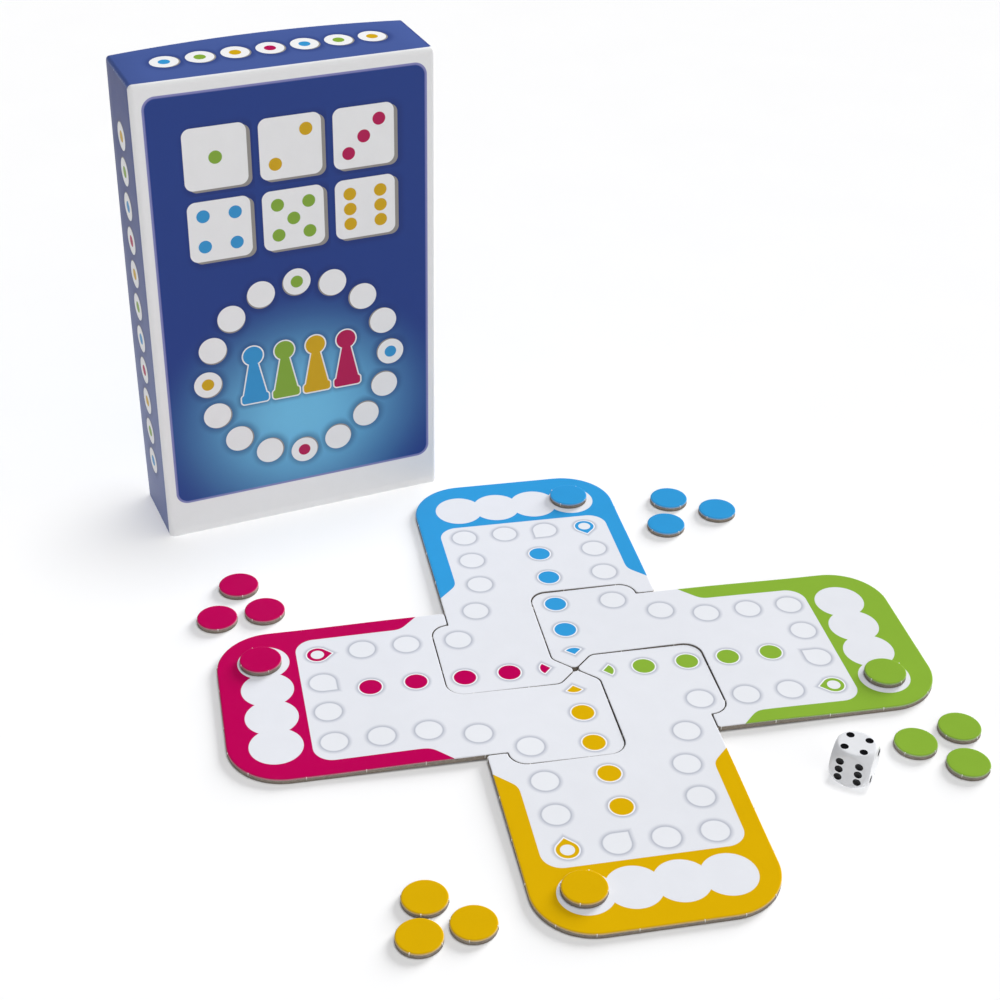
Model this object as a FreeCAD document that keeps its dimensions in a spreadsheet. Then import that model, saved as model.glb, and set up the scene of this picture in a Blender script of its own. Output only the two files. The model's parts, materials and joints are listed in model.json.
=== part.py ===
"""Travel ludo set: a cardboard lift-off box, a cross-shaped board in four panels, counters, a die.

Millimetres, +Z up. The origin is the middle of the closed box's foot on the table. The box stands
on end: +X runs along its width, and its printed front faces -Y, where the board lies on the table.
"""
import FreeCAD, Part
import os
import Sketcher

doc = FreeCAD.newDocument("travel_ludo")
sheet = doc.addObject("Spreadsheet::Sheet", "Sizes")

# Driving dimensions, in millimetres and degrees
sizes = {
    # Box: the lid's outside, the board it is folded from, and how the tray fits in it
    "box_width": 113.0,
    "box_height": 186.0,
    "box_depth": 34.5,
    "box_wall": 1.6,
    "wrap_radius": 1.0,
    "tray_clearance": 0.5,
    "rim_clearance": 0.3,
    # Rules leaflet: one folded sheet, and the room left beside and above it in the tray
    "leaflet_margin": 3.8,
    "leaflet_headroom": 36.6,
    "leaf_thickness": 0.3,
    "fold_gap": 0.2,
    "leaflet_clearance": 0.3,
    # Board: one panel's arm, and the key by which it locks into its neighbour
    "board_thickness": 2.0,
    "arm_width": 81.0,
    "arm_reach": 126.5,
    "arm_radius": 20.0,
    "seam_offset": 7.2,
    "seam_gap": 0.4,
    "seam_radius": 4.0,
    "tip_radius": 2.0,
    "key_depth": 7.0,
    "key_inset": 7.2,
    "key_radius": 6.3,
    # Where the board lies: beside the box's middle, before its front, turned about +Z
    "board_side": 55.3,
    "board_gap": 9.6,
    "board_turn": -11.9,
    # Counters, and the row of home spaces near the end of each arm
    "counter_diameter": 15.0,
    "counter_edge": 0.4,
    "home_pitch": 15.4,
    "home_inset": 17.6,
    # Die, and where it lies in the corner between two arms
    "die_size": 14.0,
    "die_ball": 18.9,
    "die_edge": 0.5,
    "pip_radius": 1.4,
    "pip_depth": 0.5,
    "pip_spread": 3.3,
    "die_side": 29.6,
    "die_out": 38.3,
    "die_turn": -37.8,
}

# Each colour's first counter stands on a home space, a little out from its middle. The other three
# lie as a heap in the corner between two arms. The heap's middle is measured from that corner, and
# then come the bearing and the extra spread of each of its counters.
heaps = {
    "blue": (1.2, 27.3, 53.4, ((110.3, 1.9), (220.0, 4.3), (353.4, 5.0))),
    "green": (-0.3, 21.8, 75.8, ((255.6, 2.3), (135.7, 2.2), (16.0, 2.3))),
    "yellow": (-0.8, 28.6, 70.6, ((286.5, 1.4), (40.1, 0.7), (160.1, 2.0))),
    "magenta": (1.8, 20.3, 74.4, ((358.0, 3.8), (127.9, 2.9), (238.6, 1.5))),
}
for colour, (shift, side, out, counters) in heaps.items():
    sizes[f"{colour}_home_shift"] = shift
    sizes[f"{colour}_heap_side"] = side
    sizes[f"{colour}_heap_out"] = out
    for number, (bearing, spread) in enumerate(counters, start=2):
        sizes[f"{colour}_bearing_{number}"] = bearing
        sizes[f"{colour}_spread_{number}"] = spread

for row, (name, number) in enumerate(sizes.items(), start=1):
    sheet.set(f"A{row}", name)
    sheet.set(f"B{row}", str(number))
    sheet.setAlias(f"B{row}", name)
doc.recompute()

# The panels go round the board clockwise, each a quarter turn on from the one before it
PANEL_COLOURS = ("blue", "green", "yellow", "magenta")
QUARTER_TURN = 90


def value(expression):
    """Number that an expression on the sheet gives."""
    return float(sheet.evalExpression(expression))


def new_body(label):
    body = doc.addObject("PartDesign::Body", label)
    body.Label = label
    return body


def bind(feature, expressions):
    """Tie properties of a feature to expressions on the sheet."""
    for name, expression in expressions.items():
        feature.setExpression(name, expression)
    doc.recompute()


def box_feature(body, kind, name, corner, size):
    """Block added to or cut from a body, by its lowest corner and its size."""
    feature = body.newObject(f"PartDesign::{kind}Box", name)
    properties = ("Placement.Base.x", "Placement.Base.y", "Placement.Base.z", "Length", "Width", "Height")
    bind(feature, dict(zip(properties, (*corner, *size))))
    return feature


def polygon(body, name, corners):
    """Closed outline on the body's own XY plane, each corner a pair of expressions."""
    sketch = body.newObject("Sketcher::SketchObject", name)
    plane = next(item for item in body.Origin.OriginFeatures if item.Role == "XY_Plane")
    sketch.AttachmentSupport = (plane, [""])
    sketch.MapMode = "FlatFace"
    points = [FreeCAD.Vector(value(x), value(y), 0) for x, y in corners]
    for here, there in zip(points, points[1:] + points[:1]):
        sketch.addGeometry(Part.LineSegment(here, there), False)
    for line, (x, y) in enumerate(corners):
        following = (line + 1) % len(corners)
        sketch.addConstraint(Sketcher.Constraint("Coincident", line, 2, following, 1))
        for direction, expression in (("DistanceX", x), ("DistanceY", y)):
            place = Sketcher.Constraint(direction, line, 1, value(expression))
            index = sketch.addConstraint(place)
            sketch.setExpression(f"Constraints[{index}]", expression)
    doc.recompute()
    return sketch


def pad(body, name, sketch, length):
    feature = body.newObject("PartDesign::Pad", name)
    feature.Profile = sketch
    bind(feature, {"Length": length})
    return feature


def round_edges(body, name, edges, radius):
    """Fillet on the numbered edges of the body as it stands."""
    base = body.Tip
    feature = body.newObject("PartDesign::Fillet", name)
    feature.Base = (base, [f"Edge{number}" for number in edges])
    bind(feature, {"Radius": radius})
    return feature


def upright_edges(body, corners):
    """Numbers of the edges that stand up from the given corners of an outline."""
    wanted = [FreeCAD.Vector(value(x), value(y), 0) for x, y in corners]
    found = []
    for number, edge in enumerate(body.Shape.Edges, start=1):
        foot, head = edge.Vertexes[0].Point, edge.Vertexes[-1].Point
        upright = abs(foot.x - head.x) + abs(foot.y - head.y) < 1e-6
        flat = FreeCAD.Vector(foot.x, foot.y, 0)
        if upright and any(flat.isEqual(corner, 1e-4) for corner in wanted):
            found.append(number)
    return found


def place(body, x, y, z, turn):
    """Position of a body in the set, and its turn about +Z."""
    bind(body, {
        "Placement.Base.x": x,
        "Placement.Base.y": y,
        "Placement.Base.z": z,
        "Placement.Rotation.Angle": turn,
    })


# Box lid: wrapped greyboard, folded over the whole depth of the tray and open at the back
lid = new_body("box_lid")
box_feature(lid, "Additive", "lid_outside",
            ("-Sizes.box_width / 2", "-Sizes.box_depth / 2", "0"),
            ("Sizes.box_width", "Sizes.box_depth", "Sizes.box_height"))
back_y = value("Sizes.box_depth / 2")
folded = [number for number, edge in enumerate(lid.Shape.Edges, start=1)
          if abs(edge.BoundBox.YMin - back_y) > 1e-6]
round_edges(lid, "lid_wrapped_edges", folded, "Sizes.wrap_radius")
box_feature(lid, "Subtractive", "lid_hollow",
            ("-Sizes.box_width / 2 + Sizes.box_wall", "-Sizes.box_depth / 2 + Sizes.box_wall", "Sizes.box_wall"),
            ("Sizes.box_width - 2 * Sizes.box_wall", "Sizes.box_depth", "Sizes.box_height - 2 * Sizes.box_wall"))

# Box tray: the same wrapped board, pushed into the lid until its floor is flush with the lid's rim
tray_inset = "(Sizes.box_wall + Sizes.tray_clearance)"
tray_rim_y = "(-Sizes.box_depth / 2 + Sizes.box_wall + Sizes.rim_clearance)"
tray = new_body("box_tray")
box_feature(tray, "Additive", "tray_outside",
            (f"-Sizes.box_width / 2 + {tray_inset}", tray_rim_y, tray_inset),
            (f"Sizes.box_width - 2 * {tray_inset}", f"Sizes.box_depth / 2 - {tray_rim_y}",
             f"Sizes.box_height - 2 * {tray_inset}"))
folded = [number for number, edge in enumerate(tray.Shape.Edges, start=1)
          if abs(edge.BoundBox.YMax - value(tray_rim_y)) > 1e-6]
round_edges(tray, "tray_wrapped_edges", folded, "Sizes.wrap_radius")
tray_inner = f"({tray_inset} + Sizes.box_wall)"
tray_floor_y = "(Sizes.box_depth / 2 - Sizes.box_wall)"
box_feature(tray, "Subtractive", "tray_hollow",
            (f"-Sizes.box_width / 2 + {tray_inner}", f"{tray_floor_y} - Sizes.box_depth", tray_inner),
            (f"Sizes.box_width - 2 * {tray_inner}", "Sizes.box_depth", f"Sizes.box_height - 2 * {tray_inner}"))

# Rules leaflet: a sheet folded once, standing on the tray's lower wall against its floor
leaflet_width = f"(Sizes.box_width - 2 * {tray_inner} - 2 * Sizes.leaflet_margin)"
leaflet_height = f"(Sizes.box_height - 2 * {tray_inner} - Sizes.leaflet_headroom)"
leaf_tops = ("0", "Sizes.leaf_thickness", "Sizes.leaf_thickness + Sizes.fold_gap",
             "2 * Sizes.leaf_thickness + Sizes.fold_gap")
leaflet_corners = [
    ("0", leaf_tops[0]),
    (leaflet_width, leaf_tops[0]),
    (leaflet_width, leaf_tops[1]),
    ("Sizes.leaf_thickness", leaf_tops[1]),
    ("Sizes.leaf_thickness", leaf_tops[2]),
    (leaflet_width, leaf_tops[2]),
    (leaflet_width, leaf_tops[3]),
    ("0", leaf_tops[3]),
]
leaflet = new_body("rules_leaflet")
pad(leaflet, "leaflet_sheet", polygon(leaflet, "leaflet_fold", leaflet_corners), leaflet_height)
fold = upright_edges(leaflet, (leaflet_corners[0], leaflet_corners[-1]))
round_edges(leaflet, "leaflet_fold_edge", fold, "Sizes.leaf_thickness")
place(leaflet, f"-{leaflet_width} / 2", f"{tray_floor_y} - Sizes.leaflet_clearance - ({leaf_tops[3]})",
      f"{tray_inner} + Sizes.leaflet_clearance", "0")

# Board panels: the arm points along the panel's own +Y. On its left the panel reaches round the
# middle of the board as a key, and on its right it leaves a socket for the next panel's key.
half_arm = "(Sizes.arm_width / 2)"
half_gap = "(Sizes.seam_gap / 2)"
slant_gap = "(Sizes.seam_gap / sqrt(2))"
key_reach = f"({half_arm} + Sizes.key_depth)"
key_side = f"({half_arm} - Sizes.key_inset)"
key_foot = f"({half_gap} - Sizes.seam_offset)"
socket_side = f"(-Sizes.seam_offset - {half_gap})"
panel_corners = {
    "tip": (f"-{slant_gap}", "0"),
    "key_slant": (f"{key_foot} - {slant_gap}", key_foot),
    "key_low": (f"{half_gap} - {key_reach}", key_foot),
    "key_high": (f"{half_gap} - {key_reach}", f"{key_side} - {half_gap}"),
    "key_root": (f"-{half_arm}", f"{key_side} - {half_gap}"),
    "end_left": (f"-{half_arm}", "Sizes.arm_reach"),
    "end_right": (half_arm, "Sizes.arm_reach"),
    "leg_right": (half_arm, f"{half_arm} + Sizes.seam_gap"),
    "leg_left": (f"{key_side} + {half_gap}", f"{half_arm} + Sizes.seam_gap"),
    "socket_right": (f"{key_side} + {half_gap}", f"{key_reach} + {half_gap}"),
    "socket_left": (socket_side, f"{key_reach} + {half_gap}"),
    "socket_slant": (socket_side, f"-{socket_side} - {slant_gap}"),
}
panel_rounds = (
    ("arm_corners", ("end_left", "end_right"), "Sizes.arm_radius"),
    ("key_corners", ("key_low", "key_high"), f"Sizes.key_radius - {half_gap}"),
    ("socket_corners", ("socket_left", "socket_right"), f"Sizes.key_radius + {half_gap}"),
    ("key_bend", ("key_slant",), f"Sizes.seam_radius - {half_gap}"),
    ("socket_bend", ("socket_slant",), f"Sizes.seam_radius + {half_gap}"),
    ("blunt_tip", ("tip",), "Sizes.tip_radius"),
)
# The end of the blue arm, turned with the board, stays clear of the box's front
blue_end = ("((Sizes.arm_reach - Sizes.arm_radius) * cos(Sizes.board_turn)"
            f" + ({half_arm} - Sizes.arm_radius) * abs(sin(Sizes.board_turn)) + Sizes.arm_radius)")
board_y = f"(-Sizes.box_depth / 2 - Sizes.board_gap - {blue_end})"


def place_on_board(body, quarter, x, y, z, turn="0"):
    """Position given across (x) and along (y) the arm that lies so many quarter turns round."""
    angle = f"(Sizes.board_turn - {quarter * QUARTER_TURN})"
    place(body,
          f"Sizes.board_side + ({x}) * cos({angle}) - ({y}) * sin({angle})",
          f"{board_y} + ({x}) * sin({angle}) + ({y}) * cos({angle})",
          z, f"{angle} + {turn}")


panels = []
for quarter, colour in enumerate(PANEL_COLOURS):
    panel = new_body(f"{colour}_panel")
    outline = polygon(panel, "panel_outline", list(panel_corners.values()))
    pad(panel, "panel_board", outline, "Sizes.board_thickness")
    for name, corners, radius in panel_rounds:
        edges = upright_edges(panel, [panel_corners[corner] for corner in corners])
        round_edges(panel, name, edges, radius)
    place_on_board(panel, quarter, "0", "0", "0")
    panels.append(panel)


def counter(label):
    """Disc punched from the panels' board, its printed edge drawn down a little by the punch."""
    body = new_body(label)
    disc = body.newObject("PartDesign::AdditiveCylinder", "counter_disc")
    bind(disc, {"Radius": "Sizes.counter_diameter / 2", "Height": "Sizes.board_thickness"})
    top = value("Sizes.board_thickness")
    rim = [number for number, edge in enumerate(body.Shape.Edges, start=1)
           if abs(edge.BoundBox.ZMin - top) < 1e-6]
    round_edges(body, "counter_printed_edge", rim, "Sizes.counter_edge")
    return body


# Counters: the first of each colour stands on its own arm's last home space, and the other three
# lie on the table. Three discs that touch have their middles this far from the heap's middle.
touching = "(Sizes.counter_diameter / sqrt(3))"
counters = []
for quarter, colour in enumerate(PANEL_COLOURS):
    home = counter(f"{colour}_counter_1")
    place_on_board(home, quarter, "1.5 * Sizes.home_pitch",
                   f"Sizes.arm_reach - Sizes.home_inset + Sizes.{colour}_home_shift", "Sizes.board_thickness")
    counters.append(home)
    for number in range(2, 5):
        spare = counter(f"{colour}_counter_{number}")
        bearing = f"Sizes.{colour}_bearing_{number}"
        spread = f"({touching} + Sizes.{colour}_spread_{number})"
        place_on_board(spare, quarter,
                       f"{half_arm} + Sizes.{colour}_heap_side + {spread} * cos({bearing})",
                       f"{half_arm} + Sizes.{colour}_heap_out + {spread} * sin({bearing})", "0")
        counters.append(spare)

# Die: a moulded cube trimmed to a ball, so that its faces are round, with its pips sunk as shallow
# spherical dishes. Opposite faces add up to seven. Each face is given by its outward, across and up
# directions.
die = new_body("die")
half_die = "(Sizes.die_size / 2)"
ball = die.newObject("PartDesign::AdditiveSphere", "die_ball")
bind(ball, {"Radius": "Sizes.die_ball / 2", "Placement.Base.z": half_die})
pip_patterns = {
    1: ((0, 0),),
    2: ((1, 1), (-1, -1)),
    3: ((1, 1), (0, 0), (-1, -1)),
    4: ((1, 1), (1, -1), (-1, 1), (-1, -1)),
    5: ((1, 1), (1, -1), (-1, 1), (-1, -1), (0, 0)),
    6: ((1, 1), (1, 0), (1, -1), (-1, 1), (-1, 0), (-1, -1)),
}
die_faces = {
    4: ((0, 0, 1), (1, 0, 0), (0, 1, 0)),
    3: ((0, 0, -1), (1, 0, 0), (0, 1, 0)),
    6: ((0, -1, 0), (1, 0, 0), (0, 0, 1)),
    1: ((0, 1, 0), (1, 0, 0), (0, 0, 1)),
    2: ((1, 0, 0), (0, 1, 0), (0, 0, 1)),
    5: ((-1, 0, 0), (0, 1, 0), (0, 0, 1)),
}
die_middle = ("0", "0", half_die)
for count, (outward, across, up) in die_faces.items():
    axis = next(axis for axis in range(3) if outward[axis])
    corner = [f"{middle} - Sizes.die_ball / 2" for middle in die_middle]
    size = ["Sizes.die_ball"] * 3
    size[axis] = "(Sizes.die_ball - Sizes.die_size) / 2"
    if outward[axis] > 0:
        corner[axis] = f"{die_middle[axis]} + {half_die}"
    box_feature(die, "Subtractive", f"flat_of_{count}", corner, size)
flats = [face for face in die.Shape.Faces if isinstance(face.Surface, Part.Plane)]
rims = [number for number, edge in enumerate(die.Shape.Edges, start=1)
        if any(edge.isSame(rim) for flat in flats for rim in flat.Edges)]
round_edges(die, "die_rims", rims, "Sizes.die_edge")
dish_radius = "((Sizes.pip_radius ^ 2 + Sizes.pip_depth ^ 2) / (2 * Sizes.pip_depth))"
dish_centre = f"({half_die} + {dish_radius} - Sizes.pip_depth)"
for count, (outward, across, up) in die_faces.items():
    for column, line in pip_patterns[count]:
        dish = die.newObject("PartDesign::SubtractiveSphere", f"pip_of_{count}")
        steps = [column * across[axis] + line * up[axis] for axis in range(3)]
        x, y, z = (f"{outward[axis]} * {dish_centre} + {steps[axis]} * Sizes.pip_spread" for axis in range(3))
        bind(dish, {"Radius": dish_radius, "Placement.Base.x": x, "Placement.Base.y": y,
                    "Placement.Base.z": f"{half_die} + {z}"})
place_on_board(die, PANEL_COLOURS.index("green"), f"{half_arm} + Sizes.die_side",
               f"{half_arm} + Sizes.die_out", "0", f"{QUARTER_TURN} + Sizes.die_turn")

doc.recompute()
for item in doc.Objects:
    if "Invalid" in item.State or "Error" in item.State:
        raise RuntimeError(f"{item.Label} did not compute: {item.State}")

os.makedirs("parts", exist_ok=True)
for body in (lid, tray, leaflet, *panels, *counters, die):
    if body.Shape.isNull() or not body.Shape.isValid() or len(body.Shape.Solids) != 1:
        raise RuntimeError(f"{body.Label} is not one sound solid")
    body.Shape.exportStep(f"parts/{body.Label}.step")
    print(f"{body.Label}: {body.Shape.Volume:.1f} mm3")
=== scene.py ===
"""Travel ludo set: its box, board, counters and die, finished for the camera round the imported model."""

import json
import math
import random
from functools import reduce

import bmesh
import bpy
from mathutils import Matrix, Vector
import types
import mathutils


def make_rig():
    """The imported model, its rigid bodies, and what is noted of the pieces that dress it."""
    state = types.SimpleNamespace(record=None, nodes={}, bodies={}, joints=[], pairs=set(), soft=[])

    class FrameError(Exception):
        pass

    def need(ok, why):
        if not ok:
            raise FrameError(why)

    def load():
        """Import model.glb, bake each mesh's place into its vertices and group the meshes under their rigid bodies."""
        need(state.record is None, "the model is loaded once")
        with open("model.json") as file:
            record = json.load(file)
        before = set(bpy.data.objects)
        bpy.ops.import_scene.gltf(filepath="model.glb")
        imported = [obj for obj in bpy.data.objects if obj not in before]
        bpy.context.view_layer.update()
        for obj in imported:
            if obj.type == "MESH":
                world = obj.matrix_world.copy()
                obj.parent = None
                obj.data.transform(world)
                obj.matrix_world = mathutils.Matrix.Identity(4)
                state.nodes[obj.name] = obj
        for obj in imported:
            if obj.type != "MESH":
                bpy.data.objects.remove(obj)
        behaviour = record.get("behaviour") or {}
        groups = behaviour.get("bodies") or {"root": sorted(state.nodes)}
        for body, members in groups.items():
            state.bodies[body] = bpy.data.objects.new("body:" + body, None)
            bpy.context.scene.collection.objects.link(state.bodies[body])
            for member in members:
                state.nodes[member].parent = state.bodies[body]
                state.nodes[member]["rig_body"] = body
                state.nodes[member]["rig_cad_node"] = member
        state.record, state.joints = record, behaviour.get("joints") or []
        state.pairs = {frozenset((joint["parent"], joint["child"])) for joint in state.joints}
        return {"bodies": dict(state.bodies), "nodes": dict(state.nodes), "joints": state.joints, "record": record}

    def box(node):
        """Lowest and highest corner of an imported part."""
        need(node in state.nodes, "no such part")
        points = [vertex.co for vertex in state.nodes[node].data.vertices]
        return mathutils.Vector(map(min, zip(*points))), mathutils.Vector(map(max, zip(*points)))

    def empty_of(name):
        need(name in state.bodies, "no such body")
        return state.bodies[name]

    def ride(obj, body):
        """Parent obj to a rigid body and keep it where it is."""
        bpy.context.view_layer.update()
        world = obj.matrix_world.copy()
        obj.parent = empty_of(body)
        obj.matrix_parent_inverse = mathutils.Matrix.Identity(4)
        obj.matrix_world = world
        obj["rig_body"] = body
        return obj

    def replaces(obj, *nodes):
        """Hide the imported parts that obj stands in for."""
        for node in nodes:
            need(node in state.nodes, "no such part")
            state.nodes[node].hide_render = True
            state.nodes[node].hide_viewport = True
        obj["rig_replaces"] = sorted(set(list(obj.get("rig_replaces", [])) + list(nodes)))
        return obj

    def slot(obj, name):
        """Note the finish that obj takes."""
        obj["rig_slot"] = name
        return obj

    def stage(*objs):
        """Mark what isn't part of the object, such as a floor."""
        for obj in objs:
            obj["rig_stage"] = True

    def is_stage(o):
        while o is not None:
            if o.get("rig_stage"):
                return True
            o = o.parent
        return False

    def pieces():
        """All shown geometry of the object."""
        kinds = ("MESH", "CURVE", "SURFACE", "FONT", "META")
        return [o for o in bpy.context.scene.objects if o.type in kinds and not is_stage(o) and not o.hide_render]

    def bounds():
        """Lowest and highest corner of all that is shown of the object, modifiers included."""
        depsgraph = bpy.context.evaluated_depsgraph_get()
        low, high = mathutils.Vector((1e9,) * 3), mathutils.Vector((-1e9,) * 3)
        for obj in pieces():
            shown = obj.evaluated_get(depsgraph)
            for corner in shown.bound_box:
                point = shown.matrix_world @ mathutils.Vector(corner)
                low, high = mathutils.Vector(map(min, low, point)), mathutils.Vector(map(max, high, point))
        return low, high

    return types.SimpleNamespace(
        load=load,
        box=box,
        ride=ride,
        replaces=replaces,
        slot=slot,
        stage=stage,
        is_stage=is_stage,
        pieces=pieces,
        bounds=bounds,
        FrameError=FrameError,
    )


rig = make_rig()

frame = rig.load()
cad_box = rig.bounds()

# Box lid: one sheet of greyboard folded to a deep shell and wrapped in printed, laminated paper.
# It slides over the whole depth of the tray. Its open rim stands out a little between the corners.
MM = 0.001
WALL = 1.6
CORNER_RADIUS = 1.5
FOLD_RADIUS = 2.2
FOOT_SHARE = 0.25
LINING_STEP = 2.0
SIDE_STEPS = 14
CORNER_STEPS = 4
EDGE_STEPS = 5
DEPTH_STEPS = 6
LID_BOWS = (0.5, 1.9, 0.5, 0.0)


class Shade:
    """A value, vector or colour in a material's nodes. Arithmetic on it adds Math nodes."""

    def __init__(self, socket):
        self.socket = socket

    def node(self, kind, settings, inputs, output=0):
        """Any other node of the material: its settings first, then its sockets' values or links."""
        tree = self.socket.id_data
        made = tree.nodes.new(kind)
        for name, setting in settings.items():
            setattr(made, name, setting)
        for name, given in inputs.items():
            if isinstance(given, Shade):
                tree.links.new(given.socket, made.inputs[name])
            else:
                made.inputs[name].default_value = given
        return Shade(made.outputs[output])

    def math(self, operation, *terms):
        return self.node("ShaderNodeMath", {"operation": operation}, dict(enumerate(terms)))

    def __add__(self, other):
        return self.math("ADD", self, other)

    def __sub__(self, other):
        return self.math("SUBTRACT", self, other)

    def __rsub__(self, other):
        return self.math("SUBTRACT", other, self)

    def __mul__(self, other):
        return self.math("MULTIPLY", self, other)

    def __truediv__(self, other):
        return self.math("DIVIDE", self, other)

    def __mod__(self, other):
        return self.math("FLOORED_MODULO", self, other)

    def __pow__(self, other):
        return self.math("POWER", self, other)

    def __gt__(self, other):
        return self.math("GREATER_THAN", self, other)

    def __lt__(self, other):
        return self.math("LESS_THAN", self, other)

    def __abs__(self):
        return self.math("ABSOLUTE", self)

    def __round__(self):
        return self.math("ROUND", self)

    __radd__ = __add__
    __rmul__ = __mul__

    def least(self, other):
        return self.math("MINIMUM", self, other)

    def most(self, other):
        return self.math("MAXIMUM", self, other)

    def fade(self, start, end):
        """1 up to the start, falling smoothly to 0 at the end."""
        limits = {"Value": self, "From Min": start, "From Max": end, "To Min": 1.0, "To Max": 0.0}
        return self.node("ShaderNodeMapRange", {"interpolation_type": "SMOOTHSTEP"}, limits)

    def inside(self, soft=0.16):
        """1 where this distance is below zero, with a printed line's soft edge."""
        return self.fade(-soft / 2, soft / 2)

    def mix(self, low, high):
        """Colour that goes from low to high as this value goes from 0 to 1."""
        return self.node("ShaderNodeMix", {"data_type": "RGBA"}, {0: self, 6: low, 7: high}, 2)

    def vector(self, operation, *terms, output=0):
        return self.node("ShaderNodeVectorMath", {"operation": operation}, dict(enumerate(terms)), output)

    def scaled(self, factor):
        """Vector or colour times a number."""
        return self.node("ShaderNodeVectorMath", {"operation": "SCALE"}, {0: self, "Scale": factor})

    def axes(self):
        parts = self.node("ShaderNodeSeparateXYZ", {}, {0: self}).socket.node.outputs
        return [Shade(part) for part in parts]

    def noise(self, scale, detail=2.0):
        """Cloudy value round 0.5, with so many clouds to a unit."""
        return self.node("ShaderNodeTexNoise", {}, {"Vector": self, "Scale": scale, "Detail": detail})


def ink(red, green, blue):
    """Colour on the material's own scale, from its screen values of 0 to 255."""
    def linear(level):
        level /= 255
        return level / 12.92 if level < 0.04045 else ((level + 0.055) / 1.055) ** 2.4
    return (linear(red), linear(green), linear(blue), 1.0)


def new_finish(name, constants):
    """Material with constants on its shader, and the place on the piece in millimetres."""
    material = bpy.data.materials.new(name)
    material.use_nodes = True
    nodes = material.node_tree.nodes
    for socket, constant in constants.items():
        nodes["Principled BSDF"].inputs[socket].default_value = constant
    place = Shade(nodes.new("ShaderNodeTexCoord").outputs["Object"]).scaled(1 / MM)
    return material, place


def feed(material, sockets):
    """Link what varies over the surface to the material's shader."""
    shader = material.node_tree.nodes["Principled BSDF"]
    for name, shade in sockets.items():
        material.node_tree.links.new(shade.socket, shader.inputs[name])


def relief(height):
    """Surface normal from a height in millimetres."""
    return height.node("ShaderNodeBump", {}, {"Height": height, "Distance": MM})


def laminated(material, place, colour):
    """Offset print under a satin film: cloudy ink, the paper's tooth and a film that isn't quite flat."""
    cloud = place.noise(0.12, 4.0)
    tooth = place.noise(3.5, 3.0)
    feed(material, {
        "Base Color": colour.scaled(0.955 + 0.05 * cloud + 0.04 * tooth),
        "Roughness": 0.36 + 0.12 * tooth + 0.08 * cloud,
        "Normal": relief(0.006 * tooth + 0.05 * cloud),
    })


def hypot(a, b):
    return (a * a + b * b) ** 0.5


def rounded_box(x, y, half_x, half_y, radius):
    """Distance outside a rounded rectangle, below zero inside it."""
    over_x = abs(x) - (half_x - radius)
    over_y = abs(y) - (half_y - radius)
    return hypot(over_x.most(0), over_y.most(0)) + over_x.most(over_y).least(0) - radius


def pick(number, colours):
    """The colour with that number, counted from 0."""
    picked = colours[0]
    for step, colour in enumerate(colours[1:], start=1):
        picked = (number > step - 0.5).mix(picked, colour)
    return picked


def new_piece(name, points, faces, finishes, node, body, slot, place=Matrix()):
    """Mesh in millimetres at its place, shown for its CAD node. A face is its corners and its finish."""
    mesh = bpy.data.meshes.new(name)
    mesh.from_pydata([Vector(point) * MM for point in points], [], [corners for corners, _ in faces])
    for finish in finishes:
        mesh.materials.append(finish)
    for polygon, (_, finish) in zip(mesh.polygons, faces):
        polygon.material_index = finish
        polygon.use_smooth = True
    mesh.set_sharp_from_angle(angle=math.radians(50))
    piece = bpy.data.objects.new(name, mesh)
    bpy.context.scene.collection.objects.link(piece)
    piece.matrix_world = place
    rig.ride(piece, body)
    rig.replaces(piece, node)
    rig.slot(piece, slot)
    return piece


def band(first, second, count):
    """Faces between two rings of as many points, by the numbers of the rings' first points."""
    for here in range(count):
        there = (here + 1) % count
        yield here, [first + here, first + there, second + there, second + here]


def rectangle_ring(width, height, inset):
    """Rounded rectangle about its middle: each point, its wall and its share of that wall's bow."""
    ring = []
    corner = max(CORNER_RADIUS - inset, 0.15)
    for wall in range(4):
        along, out = (height, width) if wall % 2 == 0 else (width, height)
        along, out = along / 2 - inset - corner, out / 2 - inset
        turn = Matrix.Rotation(math.radians(90 * wall), 2)
        for step in range(SIDE_STEPS + 1):
            share = 2 * step / SIDE_STEPS - 1
            ring.append((turn @ Vector((out, share * along)), wall, 1 - share ** 2))
        for step in range(1, CORNER_STEPS):
            angle = math.radians(90 * step / CORNER_STEPS)
            point = Vector((out - corner + corner * math.cos(angle), along + corner * math.sin(angle)))
            ring.append((turn @ point, wall, 0.0))
    return ring


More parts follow.
